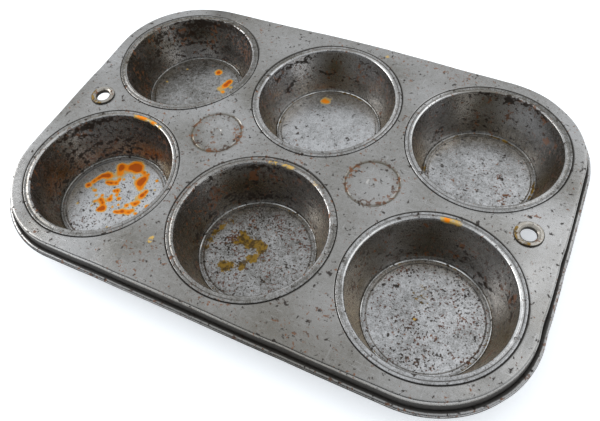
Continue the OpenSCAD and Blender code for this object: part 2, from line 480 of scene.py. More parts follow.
# (x, y, radius, strength) of black and red-brown dirt on a floor
DIRT = {
    "cup_front_middle": [
        (-16, 0, 3.6, 1), (-13, 3, 3, 0.9), (-14, -5, 3, 0.7), (-9, 18, 5, 0.55), (-8, 12, 3, 0.7),
        (-17, 10, 2, 0.5), (2, 18, 7, 0.4),
    ],
    "cup_front_right": [
        (-12.8, -7.6, 1.5, 1), (7.9, -1.8, 1.8, 1), (6.7, 3.2, 1.3, 0.9), (1.9, -1.4, 1.3, 0.9),
        (-4.4, -3.7, 1.6, 1), (-0.2, -6, 1.1, 0.9), (-5.8, -7.5, 1.5, 0.8), (8, -9.4, 1.1, 0.9),
        (1.9, -10.7, 1.2, 0.9), (1.5, -14.2, 1, 0.8), (-2, -22.9, 2, 1), (3.1, -22.4, 1.6, 1),
        (10.8, -21.9, 2, 0.8), (17.2, -14.1, 1.4, 0.9), (13, -16, 1.3, 0.8), (-18.3, 17, 2.2, 1),
        (-15.5, 18.6, 2, 0.9), (-22.7, 11.1, 2, 1), (-12.9, 21.2, 2, 0.8), (8, 24.5, 2.4, 1),
        (12.3, 18, 4, 0.6), (-17.3, 10.6, 1.1, 1), (23.8, -13.5, 2, 1), (26, -6, 1.6, 0.9),
        (26.4, 0, 1.4, 0.7), (-10, -12, 5, 0.35), (3, -20, 8, 0.3), (14, 8, 7, 0.35), (0, -8, 8, 0.25),
    ],
    "cup_front_left": [
        (-8.7, -8.7, 1.8, 0.8), (-17.7, -11.9, 1.6, 0.7), (-0.9, -18.9, 1, 1), (-1, 6, 6, 0.4),
        (15, 0, 5, 0.45), (6, -12, 6, 0.35), (-6, -20, 8, 0.3),
    ],
    "cup_back_right": [
        (9.2, 1.5, 2.4, 0.8), (15.5, -9.7, 2.4, 0.8), (15.2, -14.6, 2.6, 0.8), (-18, 9, 3, 0.3),
        (-14, 8, 2, 0.4), (-27, -9, 3, 0.6), (25, -10, 4, 0.5), (2, -4, 9, 0.35),
    ],
    "cup_back_middle": [(-13, 9, 1.5, 0.5), (2, -4, 9, 0.25), (20, 4, 5, 0.2)],
}

# A place on a wall is (degrees round from +X, height, half-width in degrees, half-height, strength).
# Black, burnt-on patches on a wall
CHAR = {
    "cup_front_left": [
        (110, 11, 28, 1.2, 0.9), (138, 10.5, 10, 1.6, 1), (150, 9.5, 8, 1.6, 0.9), (170, 6.5, 5, 2.2, 1),
        (188, 5, 5, 2.5, 0.9), (160, 13, 5, 1.5, 0.8), (140, 23, 40, 2.2, 0.9), (85, 12, 8, 1.2, 0.8),
        (120, 3, 30, 2.0, 0.75), (160, 20, 14, 3, 0.5), (200, 17, 14, 6, 0.6), (75, 4, 14, 3, 0.6),
    ],
    "cup_back_left": [
        (118, 10.3, 26, 0.9, 1), (80, 9.5, 9, 1.8, 1), (60, 9, 12, 2, 0.7), (100, 21, 45, 4, 1),
        (125, 15, 22, 3.5, 0.9), (70, 17, 20, 4, 0.7), (155, 20, 14, 3, 0.9), (165, 13, 9, 3.5, 0.85),
        (180, 12, 9, 4, 0.9), (172, 8, 6, 2.5, 0.7), (195, 16, 12, 6, 0.8), (75, 3, 26, 2.2, 0.7),
        (40, 12, 14, 8, 0.6),
    ],
    "cup_back_middle": [
        (147, 22.5, 12, 1.6, 1), (132, 22.5, 7, 2.2, 1), (165, 20, 8, 1.6, 0.9), (160, 10, 6, 1.7, 1),
        (152, 11.5, 5, 1.5, 0.95), (135, 12, 5, 1.1, 0.8), (121, 12.6, 4, 1.5, 1), (113, 11.2, 8, 0.9, 0.9),
        (107, 12.6, 2.5, 1, 0.9), (92, 10.2, 6, 1, 0.9), (81, 9.3, 5, 0.9, 0.8), (80, 22, 4, 1.6, 0.8),
        (70, 21, 3, 2, 0.75), (61, 22, 4, 2, 0.8), (160, 23.5, 30, 1.2, 0.7), (195, 14, 6, 6, 0.45),
    ],
    "cup_back_right": [
        (88, 22, 9, 2.2, 1), (72, 23.3, 10, 1.4, 1), (58, 23.5, 10, 1.2, 0.9), (103, 23, 8, 1.4, 0.75),
        (152, 7.5, 7, 2, 0.85), (163, 5, 5, 2, 0.7), (110, 7, 24, 3.5, 0.55), (20, 21, 26, 3, 0.5),
        (75, 12, 5, 1.2, 0.6), (62, 14, 5, 1.2, 0.6), (-5, 12, 16, 8, 0.5),
    ],
    "cup_front_middle": [
        (120, 5.5, 28, 3.2, 0.95), (165, 6, 14, 2.6, 0.8), (140, 9.5, 14, 1.5, 0.8), (110, 13, 20, 2, 0.65),
        (100, 23.5, 40, 1.6, 0.75), (190, 5, 14, 3.5, 0.7), (160, 13, 5, 1.2, 0.7), (175, 12, 6, 1.6, 0.6),
        (85, 8, 14, 5, 0.55), (60, 13, 6, 1.5, 0.5),
    ],
    "cup_front_right": [
        (115, 6, 24, 3, 0.35), (78, 10, 9, 4, 0.7), (60, 7, 10, 2.5, 0.6), (47, 6, 7, 2.6, 0.75),
        (35, 21, 8, 2.5, 0.75), (22, 18, 8, 4, 0.8), (8, 18, 7, 4, 0.6), (165, 20, 4, 2, 0.5),
        (60, 23.5, 30, 0.9, 0.6),
    ],
}
# Red-brown to orange-brown patches on a wall
UMBER = {
    "cup_front_left": [
        (225, 5, 14, 5, 1), (90, 17, 40, 5, 0.6), (50, 13, 18, 8, 0.8), (140, 17, 20, 5, 0.5),
        (110, 6, 25, 2.5, 0.55), (160, 17, 10, 4, 0.5), (200, 18, 15, 6, 0.6),
    ],
    "cup_back_left": [
        (210, 5, 12, 6, 0.9), (110, 18, 50, 5, 0.75), (165, 18, 30, 6, 0.6), (50, 17, 25, 7, 0.8),
        (192, 14, 10, 7, 0.7), (185, 5, 8, 4, 0.5),
    ],
    "cup_back_middle": [
        (57, 19, 6, 3, 1), (77, 21, 10, 2.5, 0.75), (40, 20, 8, 4, 0.7), (115, 21, 18, 3, 0.45),
        (136, 12, 8, 2, 0.9), (165, 20, 14, 4, 0.8), (185, 18, 14, 6, 0.6), (160, 10, 10, 3, 0.8),
        (30, 15, 8, 6, 0.7), (200, 8, 12, 7, 0.55), (105, 12, 25, 2, 0.5),
    ],
    "cup_back_right": [
        (136, 17.5, 10, 2.0, 0.85), (152, 16.5, 9, 2.0, 0.7), (168, 16, 8, 2.4, 0.6), (188, 14, 9, 5, 0.7),
        (84, 13.5, 3.5, 4.5, 1), (105, 21, 7, 3, 0.7), (40, 15, 6, 3, 1), (30, 20, 9, 3, 1),
        (15, 19, 12, 4, 1), (-8, 16, 14, 7, 1), (60, 22, 14, 2.5, 0.8), (160, 6, 12, 4, 0.6),
        (50, 12, 8, 3, 0.5),
    ],
    "cup_front_middle": [
        (160, 14, 20, 7, 0.85), (110, 18, 30, 5, 0.85), (75, 20, 14, 4, 0.55), (50, 14, 20, 7, 0.3),
        (195, 12, 16, 9, 0.7), (225, 5, 16, 5, 0.9), (20, 14, 18, 8, 0.5),
    ],
    "cup_front_right": [
        (82, 14.5, 4, 2.5, 1), (70, 14, 5, 3, 0.85), (60, 20, 5, 2.5, 0.95), (55, 14, 6, 3, 0.8),
        (44, 16, 4, 5, 0.95), (36, 17, 4, 5, 0.9), (22, 19, 8, 5, 0.9), (8, 17, 6, 5, 0.9),
        (48, 5, 6, 3, 0.95), (152, 12, 3, 1.5, 1), (158, 16, 8, 4, 0.5), (168, 20, 4, 3, 0.8),
        (190, 15, 10, 7, 0.6), (-20, 10, 16, 8, 0.7), (85, 8, 12, 4, 0.7), (110, 22, 8, 2, 0.5),
    ],
}
# The brown veil of baked-on grease on a wall, and painted shade on the cups' back walls, about 105 degrees
# round
VEIL_AND_SHADE = {
    "cup_front_left": [(110, 12, 40, 30, 0.35), (190, 14, 45, 30, 0.95)],
    "cup_front_middle": [(125, 12, 45, 30, 0.95), (195, 12, 45, 30, 0.95)],
    "cup_front_right": [(110, 12, 38, 30, 1.0), (160, 14, 35, 30, 0.75), (0, 16, 30, 20, 0.6)],
    "cup_back_left": [(115, 16, 45, 14, 0.95), (168, 16, 34, 30, 0.95), (200, 14, 30, 30, 0.95)],
    "cup_back_middle": [(106, 14, 30, 30, 1.0), (60, 23, 25, 4, 0.4), (200, 12, 20, 30, 0.3)],
    "cup_back_right": [
        (106, 12, 36, 30, 1.0), (150, 22, 24, 4, 0.15), (0, 14, 30, 30, 0.8), (40, 22, 30, 6, 0.6),
    ],
}
# (degrees round, half-width, strength) of rust on a lip
LIP_RUST = {
    "cup_front_left": [(90, 9, 0.62), (78, 5, 0.55), (70, 3, 0.4)],
    "cup_front_right": [(97, 5, 0.62), (90, 5, 0.42)],
    "cup_front_middle": [(100, 8, 0.32), (88, 9, 0.36), (60, 12, 0.25)],
    "cup_back_left": [(88, 10, 0.3), (78, 5, 0.36)],
}
# (degrees round, half-width, strength) of the stretches of a lip that are rubbed bright and carry a painted
# highlight
LIP_WORN_AND_LIT = {
    "cup_front_left": [(180, 22, 0.8), (40, 22, 0.6), (70, 10, 0.5)],
    "cup_front_middle": [(55, 24, 0.8), (168, 20, 0.5), (0, 30, 0.3)],
    "cup_front_right": [(175, 40, 1), (40, 38, 1), (0, 30, 0.5)],
    "cup_back_left": [(165, 16, 0.8), (72, 14, 0.6)],
    "cup_back_middle": [(170, 34, 1), (60, 24, 0.9), (10, 20, 0.5)],
    "cup_back_right": [(165, 38, 1), (60, 14, 0.5), (-25, 20, 0.9)],
}
# How brown the rolled edge round a cup's mouth is
RIM_DIRT = {
    "cup_front_left": 0.45, "cup_front_middle": 0.6, "cup_front_right": 0.1,
    "cup_back_left": 0.45, "cup_back_middle": 0.25, "cup_back_right": 0.2,
}
# Black mottling, brown mottling, brown veil and lightness of a cup's whole wall
WALL = {
    "cup_front_left": (0.30, 0.40, 0.35, 0.65), "cup_back_left": (0.25, 0.35, 0.15, 0.85),
    "cup_back_middle": (0.05, 0.22, 0.0, 1.2), "cup_back_right": (0.06, 0.15, 0.05, 1.25),
    "cup_front_middle": (0.15, 0.25, 0.0, 1.25), "cup_front_right": (0.05, 0.20, 0.10, 1.00),
}
# A floor's lightness and share of pits, how ochre its foot line is, how bright the painted highlight on its
# foot line is, and its brown veil
FLOOR = {
    "cup_front_left": (0.92, 0.38, 0.05, 0.25, 0.0), "cup_back_left": (0.35, 0.0, 0.10, 0.35, 0.1),
    "cup_back_middle": (0.78, 0.10, 0.75, 0.90, 0.0), "cup_back_right": (0.60, 0.30, 0.80, 0.35, 0.0),
    "cup_front_middle": (0.36, 0.70, 0.45, 0.70, 0.15), "cup_front_right": (0.58, 0.52, 0.35, 0.85, 0.0),
}
# (radius, half-width, degrees round, half-width in degrees, strength) of the grease inside a foot line
FOOT_BAND = {
    "cup_front_left": (27.3, 1.1, 150, 75, 0.8), "cup_back_left": (25.6, 0.8, 105, 60, 0.75),
    "cup_front_middle": (28.6, 0.5, 190, 60, 0.7), "cup_back_middle": (28.6, 0.4, 60, 60, 0.5),
    "cup_front_right": (28.6, 0.4, 90, 60, 0.5), "cup_back_right": (28.6, 0.4, 90, 60, 0.5),
}


def patches(turn, z, spots):
    """The strongest of the wall's patches at each point: full in a patch's middle, and 0 outside it."""
    field = np.zeros_like(z)
    for at, height, wide, tall, strength in spots:
        off = (turn - at + 180) % 360 - 180
        field = np.maximum(field, strength * hill(off, 0, wide) * hill(z, height, tall))
    return field


def around(turn, spots):
    """The strongest of the marks along a lip, each (degrees round, half-width, strength)."""
    field = np.zeros_like(turn)
    for at, wide, strength in spots:
        off = (turn - at + 180) % 360 - 180
        field = np.maximum(field, strength * hill(off, 0, wide))
    return field


# The kinds of mark: each is stored on the vertices, for the materials to read
KINDS = ("light", "grime", "bright", "umber", "veil", "ochre", "speck", "rust", "char")


class CupPlaces:
    """Where a cup's vertices lie, and how far each is floor, wall, lip, rim or outside."""

    def __init__(self, piece, name):
        points = vertices(piece)
        x, y = (points[:, :2] - CENTRES[name]).T
        z = points[:, 2]
        r = np.hypot(x, y)
        self.x, self.y, self.z, self.r = x, y, z, r
        self.turn = np.degrees(np.arctan2(y, x))
        foot_x, foot_y, shrink = FOOT_SHIFT[name]
        self.foot_r = np.hypot(x - foot_x, y - foot_y) + shrink
        normal_x, normal_y, normal_z = normals(piece).T
        inwards = normal_z - (normal_x * x + normal_y * y) / np.maximum(r, 1)
        inside = smooth(inwards, -0.2, 0.2)
        below_rim = 1 - smooth(z, PLATE_TOP - 1.2, PLATE_TOP + 0.3)
        self.outside = (1 - inside) * (z < PLATE_TOP - 1.2)
        self.floor = (1 - smooth(self.foot_r, 28.2, 29.4)) * (z < 2) * inside
        self.wall = smooth(z, 0.8, 2.2) * below_rim * (r < 38.2) * inside
        self.lip = smooth(z, PLATE_TOP - 1.8, PLATE_TOP - 0.4) * (r < GROOVE_R - 0.2)
        self.rim = smooth(z, PLATE_TOP - 0.9, PLATE_TOP + 0.1) * (r > 36.5)
        self.patchy = 0.5 + 0.5 * patch_wave(x + 3 * y, z * 4 + y)


# Each of these four gives the levels of the marks on one part of a cup


def wall_marks(at, name):
    black, brown, veil, light = WALL[name]
    uneven = 0.7 + 0.6 * at.patchy
    return {
        "char": at.wall * np.maximum(black * uneven, patches(at.turn, at.z, CHAR[name])),
        "umber": at.wall * np.maximum(brown * uneven, patches(at.turn, at.z, UMBER[name])),
        "veil": at.wall * np.maximum(veil, patches(at.turn, at.z, VEIL_AND_SHADE[name])),
        "speck": 0.3 * at.wall,
        "light": at.wall * light * (0.75 + 0.5 * at.patchy),
    }


def floor_marks(at, name):
    light, pits, foot_ochre, foot_bright, veil = FLOOR[name]
    dirt = blots(at.x, at.y, DIRT.get(name, [])) * at.floor
    foot = hill(at.foot_r, 29.0, 0.8) * (at.z < 3)
    arcs = smooth(ring_wave(at.turn / 8, at.r * 0), -0.3, 0.8)
    dirt_line = hill(at.foot_r, 28.7, 0.5) * (at.z < 1.2) * (1 - 0.6 * foot_bright)
    band_r, band_wide, band_at, band_turn, strength = FOOT_BAND[name]
    band = hill(at.foot_r, band_r, band_wide) * (at.z < 1.5)
    band = band * around(at.turn, [(band_at, band_turn, strength)])
    # A painted highlight along the fillet at the foot of the wall
    foot_line = hill(at.foot_r, 29.75, 0.4) * (at.z < 2.2)
    return {
        "umber": 0.55 * dirt,
        "veil": veil * at.floor,
        "rust": blots(at.x, at.y, RUST.get(name, [])) * at.floor,
        "ochre": blots(at.x, at.y, OCHRE.get(name, [])) * at.floor + foot * foot_ochre * arcs,
        "speck": (pits + 0.8 * dirt) * at.floor,
        "grime": np.maximum(0.75 * dirt_line, band),
        "bright": foot_line * foot_bright * (0.5 + 0.5 * arcs),
        "light": at.floor * light,
    }


def rim_marks(at, name):
    dirt = at.rim * RIM_DIRT[name]
    # The groove in the rim and the seam below the rim get painted shade
    groove = hill(at.r, GROOVE_R, 0.45) * at.rim
    in_seam = smooth(at.r, 40.7, 41.0) * (1 - smooth(at.z, PLATE_TOP + 0.3, RIM_TOP - 0.15))
    # A painted highlight along the lip's crest, strongest at the listed stretches, with some rubbed wear
    lit_crest = smooth(at.z, PLATE_TOP - 0.8, RIM_TOP - 0.35) * (1 - smooth(at.r, 38.2, 38.9))
    return {
        "umber": 0.4 * dirt,
        "veil": 0.75 * dirt,
        "rust": at.lip * around(at.turn, LIP_RUST.get(name, [])),
        "speck": 0.5 * dirt,
        "grime": np.maximum(in_seam, 0.72 * groove),
        "bright": lit_crest * (0.3 + 0.75 * around(at.turn, LIP_WORN_AND_LIT[name])),
        "light": 0.6 * at.rim,
    }


def outside_marks(at):
    return {
        "char": 0.35 * at.outside * at.patchy,
        "umber": 0.3 * at.outside,
        "light": at.outside * (0.45 + 0.35 * at.patchy),
    }


def paint_cup(piece, name):
    """Where the cup is rusty, burnt, stained, pitted and dirty, and where highlights and shade are painted, as
    vertex attributes.
    """
    at = CupPlaces(piece, name)
    shell = [wall_marks(at, name), floor_marks(at, name), outside_marks(at)]
    rim = rim_marks(at, name)
    for kind in KINDS:
        level = sum(marks.get(kind, 0) for marks in shell)
        if kind in ("veil", "grime", "bright"):
            level = np.maximum(level, rim.get(kind, 0))
        else:
            level = level + rim.get(kind, 0)
        if kind == "light":
            level = np.clip(level, 0, 1)
        attribute(piece, kind, level)


# (x, y, radius, strength) of brown stains on the plate, from the middle of the tin
PLATE_STAINS = [
    (-44, -14, 9, 0.35), (-30, -18, 6, 0.4), (0, -1, 16, 0.4), (44, -84, 16, 0.25), (-44, -84, 16, 0.25),
    (-2, -90, 22, 0.3), (-88, 2, 14, 0.25), (20, 88, 22, 0.25), (60, 84, 12, 0.35), (44, 40, 8, 0.4),
    (-44, 44, 8, 0.35), (-44, -44, 5, 0.5), (116, 22, 8, 0.4), (30, 14, 9, 0.3), (-60, 84, 14, 0.2),
    (-36, -70, 5, 0.5), (52, -68, 5, 0.4), (-100, -92, 14, 0.25), (126, 36, 5, 0.4),
]
# (x, y, radius, strength) of the brown veil of grease on the plate
PLATE_VEIL = [
    (44, -88, 34, 0.45), (-20, -88, 34, 0.28), (-135, -10, 16, 0.30), (44, -10, 18, 0.25), (0, 0, 22, 0.15),
    (-44, 40, 12, 0.2), (-60, 86, 30, 0.12), (50, 86, 30, 0.12), (100, -92, 14, 0.15),
]
# (x, y, radius, strength) of rust, and of pale flecks, on the plate
PLATE_RUST = [(-40.3, -71.5, 1.6, 0.45), (-40, -69, 1.3, 0.42), (115.5, -6, 1.5, 0.3), (20, 86, 3, 0.3)]
FLECKS = [(-28, -84, 7, 0.24), (-18, -89, 5, 0.22), (-35, -79, 4, 0.2), (131, -8, 5, 0.2)]


def lit_bead_crest(z, outwards):
    """1 along the top of the rolled bead, where the plate is painted lighter as a highlight."""
    round_bead = np.degrees(np.arctan2(z - WIRE_Z, outwards - WIRE_PATH_R))
    on_bead = (outwards > WIRE_PATH_R - 1.3) * (z < WIRE_Z + 2)
    return hill(round_bead, 55, 32) * on_bead


def paint_plate(piece):
    """Where the plate is stained and dirty, with painted shade and highlights: round the cups, down the skirt
    and in the rosettes.
    """
    x, y, z = vertices(piece).T
    # Painted shade, with some dirt, in the crevice round each cup's mouth
    seam_dirt_and_shade = np.zeros(len(x))
    for name in CUPS:
        r = np.hypot(x - CENTRES[name][0], y - CENTRES[name][1])
        seam_dirt_and_shade = np.maximum(seam_dirt_and_shade, 1 - smooth(r, 41.2, 42.1))
    # The bead's crest is painted as a highlight: paler, brownish and clear of the painted shade
    lit_crest = lit_bead_crest(z, beyond_corners(x, y))
    umber = np.maximum(0.08 * patch_wave(x, y), np.clip(blots(x, y, PLATE_STAINS), 0, 0.8))
    umber = np.maximum(umber, 0.5 * lit_crest)
    veil = np.clip(blots(x, y, PLATE_VEIL), 0, 0.6)
    for centre in ROSETTES:
        r = np.hypot(x - centre[0], y - centre[1])
        ring = hill(r, ROSETTE_R - 0.1, 1.1) + 0.6 * hill(r, ROSETTE_R - 2.6, 1.8)
        hub = 0.55 * hill(r, 2.6, 1.1)
        umber = np.maximum(umber, (ring + hub) * (0.75 + 0.35 * ring_wave(x, y)))
        trough = hill(r, ROSETTE_R - 0.1, 0.9)
        seam_dirt_and_shade = np.maximum(seam_dirt_and_shade, 0.4 * trough * (0.75 + 0.25 * ring_wave(y, x)))
        veil = np.maximum(veil, np.maximum(0.85 * trough, 0.4 * (ring + hub)))
    # Painted shade, with some dirt, down the skirt from below the fold, and under the bead
    skirt = smooth(PLATE_TOP - z, 1.6, 3.0)
    paint_plain(
        piece,
        grime=np.maximum(seam_dirt_and_shade, skirt * (1 - 0.92 * lit_crest)),
        light=0.60 + 0.25 * patch_wave(x, y) + 0.3 * lit_crest,
        umber=umber,
        veil=veil,
        rust=blots(x, y, PLATE_RUST),
        bright=np.clip(blots(x, y, FLECKS), 0, 0.3),
    )


def paint_plain(piece, **levels):
    """Stores the given levels, and 0 for every other kind of mark."""
    nothing = np.zeros(len(piece.data.vertices))
    for kind in KINDS:
        attribute(piece, kind, nothing + levels.get(kind, 0.0))


# Waves that make the marks uneven
patch_wave = Ripple(21, 42)
ring_wave = Ripple(22, 7)


# ---- Pieces ----


def make_cup(name):
    sheet = Sheet()
    outline = section(cup_corners(), SHEET_T, 0.8, back_spacing=1.6)
    outline[[0, -1], 0] = 0
    sheet.sweep(outline, ring_stations(CENTRES[name], 240), closed_outline=False)
    sheet.points = [out_of_true(part, name) for part in sheet.points]
    piece = sheet.build(name + "_drawn")
    paint_cup(piece, name)
    return piece


COLLAR_STEPS = 144
ROSETTE_STEPS = 96
EYELET_STEPS = 48
HOLE_R = BORE_R + EYELET_T + CRIMP_GAP


def flat_patch(spacing=2.0):
    """Triangles over the flat of the plate, with its round holes left open."""
    rim = outline_stations(RIM_SPACING)
    loops = [rim[:, :2] + rim[:, 2:] * SKIRT_FLAT_R]
    holes = [(CENTRES[name], COLLAR_FLAT_R, COLLAR_STEPS) for name in CUPS]
    holes += [(centre, ROSETTE_FLAT_R, ROSETTE_STEPS) for centre in ROSETTES]
    holes += [(CENTRES[name], HOLE_R, EYELET_STEPS) for name in EYELETS]
    for centre, r, steps in holes:
        ring = ring_stations(centre, steps)
        loops.append(ring[:, :2] + ring[:, 2:] * r)
    edges = []
    start = 0
    for loop in loops:
        edges += [(start + i, start + (i + 1) % len(loop)) for i in range(len(loop))]
        start += len(loop)
    border = np.concatenate(loops)
    random = np.random.default_rng(11)
    xs = np.arange(-CORNER_X - SKIRT_FLAT_R, CORNER_X + SKIRT_FLAT_R, spacing)
    ys = np.arange(-CORNER_Y - SKIRT_FLAT_R, CORNER_Y + SKIRT_FLAT_R, spacing * 0.866)
    grid = np.array([(x + (j % 2) * spacing / 2, y) for j, y in enumerate(ys) for x in xs])
    grid += random.uniform(-0.2, 0.2, grid.shape) * spacing
    keep = beyond_corners(*grid.T) < SKIRT_FLAT_R - spacing * 0.45
    for centre, r, _ in holes:
        keep &= np.hypot(*(grid - centre).T) > r + spacing * 0.45
    points = np.concatenate([border, grid[keep]])
    made = delaunay_2d_cdt([Vector(p) for p in points], edges, [], 0, 1e-6)
    flat = np.array([tuple(v) for v in made[0]])
    triangles = np.array([tuple(f) for f in made[2]])
    middle_of = flat[triangles].mean(1)
    solid = np.ones(len(triangles), bool)
    for centre, r, _ in holes:
        solid &= np.hypot(*(middle_of - centre).T) > r * 0.9995
    return flat, triangles[solid]


def make_plate():
    sheet = Sheet()
    flat, triangles = flat_patch()
    for z, turned in ((PLATE_TOP, 1), (PLATE_TOP - SHEET_T, -1)):
        level = np.column_stack([flat, np.full(len(flat), z)])
        sheet.add(level, [tuple(t[::turned]) for t in triangles])
    collar = section(collar_corners(), SHEET_T, 0.9, COARSE_BEND)
    for name in CUPS:
        sheet.sweep(collar, ring_stations(CENTRES[name], COLLAR_STEPS), closed_outline=False)
    skirt = section(skirt_corners(), SHEET_T, 1.2, COARSE_BEND)
    sheet.sweep(skirt, outline_stations(RIM_SPACING), closed_outline=False)
    rosette = section(rosette_corners(), SHEET_T, 0.8, COARSE_BEND, back_spacing=1.6)
    rosette[[0, -1], 0] = 0
    for centre in ROSETTES:
        top, bottom = np.split(rosette, [np.argmax(rosette[:, 0]) + 1])
        for half in (top, bottom):
            sheet.sweep(half, ring_stations(centre, ROSETTE_STEPS), closed_outline=False)
    hole = np.array([(HOLE_R, PLATE_TOP), (HOLE_R, PLATE_TOP - SHEET_T)])
    for name in EYELETS:
        sheet.sweep(hole, ring_stations(CENTRES[name], EYELET_STEPS), closed_outline=False)
    piece = sheet.build("plate_pressed")
    paint_plate(piece)
    return piece


def make_wire():
    sheet = Sheet()
    turn = np.linspace(0, 2 * math.pi, 20, endpoint=False)
    circle = np.stack([WIRE_PATH_R + WIRE_R * np.cos(turn), WIRE_Z + WIRE_R * np.sin(turn)], 1)
    sheet.sweep(circle, outline_stations(RIM_SPACING), closed_outline=True)
    piece = sheet.build("rim_wire_bent")
    paint_plain(piece, light=0.5, grime=0.4)
    return piece


def make_eyelet(name):
    sheet = Sheet()
    outline = section(eyelet_corners(), EYELET_T, 0.4)
    sheet.sweep(outline, ring_stations(CENTRES[name], 72), closed_outline=True)
    piece = sheet.build(name + "_clinched")
    points = vertices(piece)
    x, y = (points[:, :2] - CENTRES[name]).T
    r = np.hypot(x, y)
    # Painted shade at the eyelet's outer edge, where it meets the plate
    edge = smooth(r, EYELET_R - 0.5, EYELET_R)
    front_left = smooth(-x - y, 1, 5)
    # A painted highlight round the eyelet's crest
    lit_crest = hill(r, 5.7, 0.5) * (points[:, 2] > PLATE_TOP)
    # Painted shade down the inside of the bore
    inside = (1 - smooth(r, 4.2, 4.8)) * smooth(EYELET_TOP - points[:, 2], 0.5, 1.2)
    paint_plain(
        piece,
        light=0.45,
        grime=np.maximum(edge, 0.85 * inside),
        bright=0.5 * lit_crest,
        ochre=0.7 * front_left * smooth(r, 4.6, 5.6),
        umber=0.2,
    )
    return piece


# ---- Materials ----


class Nodes:
    """A node tree, with a short call for each kind of node that is used here."""

    def __init__(self, tree):
        self.tree = tree

    def node(self, kind, **settings):
        made = self.tree.nodes.new(kind)
        for key, value in settings.items():
            setattr(made, key, value)
        return made

    def link(self, source, socket):
        self.tree.links.new(source, socket)

    def feed(self, socket, value):
        if isinstance(value, bpy.types.NodeSocket):
            self.link(value, socket)
        else:
            socket.default_value = value

    def math(self, operation, a, b=0.0, clamp=False):
        made = self.node("ShaderNodeMath", operation=operation, use_clamp=clamp)
        self.feed(made.inputs[0], a)
        self.feed(made.inputs[1], b)
        return made.outputs["Value"]

    def add(self, a, b):
        return self.math("ADD", a, b)

    def times(self, a, b):
        return self.math("MULTIPLY", a, b)

    def most(self, a, b):
        return self.math("MAXIMUM", a, b)

    def step(self, value, low, high, at_low=0.0, at_high=1.0):
        made = self.node("ShaderNodeMapRange", interpolation_type="SMOOTHSTEP")
        self.feed(made.inputs["Value"], value)
        made.inputs["From Min"].default_value = low
        made.inputs["From Max"].default_value = high
        made.inputs["To Min"].default_value = at_low
        made.inputs["To Max"].default_value = at_high
        return made.outputs["Result"]


class Surface(Nodes):
    """A material made of such nodes, which ends in one shader."""

    def __init__(self, name):
        self.material = bpy.data.materials.new(name)
        self.material.use_nodes = True
        super().__init__(self.material.node_tree)
        self.tree.nodes.clear()
        self.shader = self.node("ShaderNodeBsdfPrincipled")
        output = self.node("ShaderNodeOutputMaterial")
        self.link(self.shader.outputs["BSDF"], output.inputs["Surface"])
        place = self.node("ShaderNodeTexCoord").outputs["Object"]
        self.mm = self.scaled(place, (1000, 1000, 1000))

    def shade(self, name, value):
        self.feed(self.shader.inputs[name], value)

    def scaled(self, vector, scale, turn=(0, 0, 0)):
        made = self.node("ShaderNodeMapping")
        self.feed(made.inputs["Vector"], vector)
        made.inputs["Scale"].default_value = scale
        made.inputs["Rotation"].default_value = [math.radians(a) for a in turn]
        return made.outputs["Vector"]

    def stored(self, name):
        return self.node("ShaderNodeAttribute", attribute_name=name).outputs["Fac"]

    def ragged(self, name, noise, gain):
        """A stored mark, with its edge broken up by noise."""
        return self.add(self.stored(name), self.times(self.add(noise, -0.5), gain))

    def noise(self, vector, size, detail=3.0, roughness=0.55, distortion=0.0):
        """Noise from 0 to 1 whose features are about size millimetres across."""
        made = self.node("ShaderNodeTexNoise")
        self.feed(made.inputs["Vector"], vector)
        made.inputs["Scale"].default_value = 1 / size
        made.inputs["Detail"].default_value = detail
        made.inputs["Roughness"].default_value = roughness
        made.inputs["Distortion"].default_value = distortion
        return made.outputs["Fac"]

    def mix(self, share, a, b):
        """Colour a, or b where share is 1."""
        made = self.node("ShaderNodeMix", data_type="RGBA")
        self.feed(made.inputs[0], share)
        self.feed(made.inputs[6], (*a, 1) if isinstance(a, tuple) else a)
        self.feed(made.inputs[7], (*b, 1) if isinstance(b, tuple) else b)
        return made.outputs[2]

    def blend(self, share, a, b):
        """Number a, or b where share is 1."""
        made = self.node("ShaderNodeMix", data_type="FLOAT")
        self.feed(made.inputs[0], share)
        self.feed(made.inputs[2], a)
        self.feed(made.inputs[3], b)
        return made.outputs[0]

    def bump(self, height, distance_mm, strength=1.0):
        made = self.node("ShaderNodeBump")
        made.inputs["Strength"].default_value = strength
        made.inputs["Distance"].default_value = distance_mm * MM
        self.feed(made.inputs["Height"], height)
        return made.outputs["Normal"]


SCRATCH_COLOUR = (0.74, 0.74, 0.75)
RUBBED_AND_HIGHLIGHT_COLOUR = (0.86, 0.855, 0.84)
GREASE_AND_SHADE_COLOUR = (0.078, 0.058, 0.024)
PIT_COLOURS = ((0.035, 0.024, 0.018), (0.13, 0.052, 0.034))
BROWN_COLOURS = ((0.055, 0.024, 0.012), (0.19, 0.066, 0.018))
SOOT_COLOUR = (0.018, 0.011, 0.008)
OCHRE_COLOURS = ((0.075, 0.042, 0.008), (0.27, 0.155, 0.012))
RUST_HALO = (0.72, 0.46, 0.09)
RUST_BODY = (0.97, 0.28, 0.008)
RUST_CORE = (0.52, 0.095, 0.006)
GRIME_AND_SHADE_COLOUR = (0.018, 0.015, 0.012)


def scratches(s):
    along = s.noise(s.scaled(s.mm, (0.05, 1, 1), (0, 0, 12)), 0.45, 2)
    across = s.noise(s.scaled(s.mm, (1, 0.06, 1), (0, 0, -24)), 0.6, 2)
    return s.most(s.step(along, 0.62, 0.74), s.step(across, 0.66, 0.78))


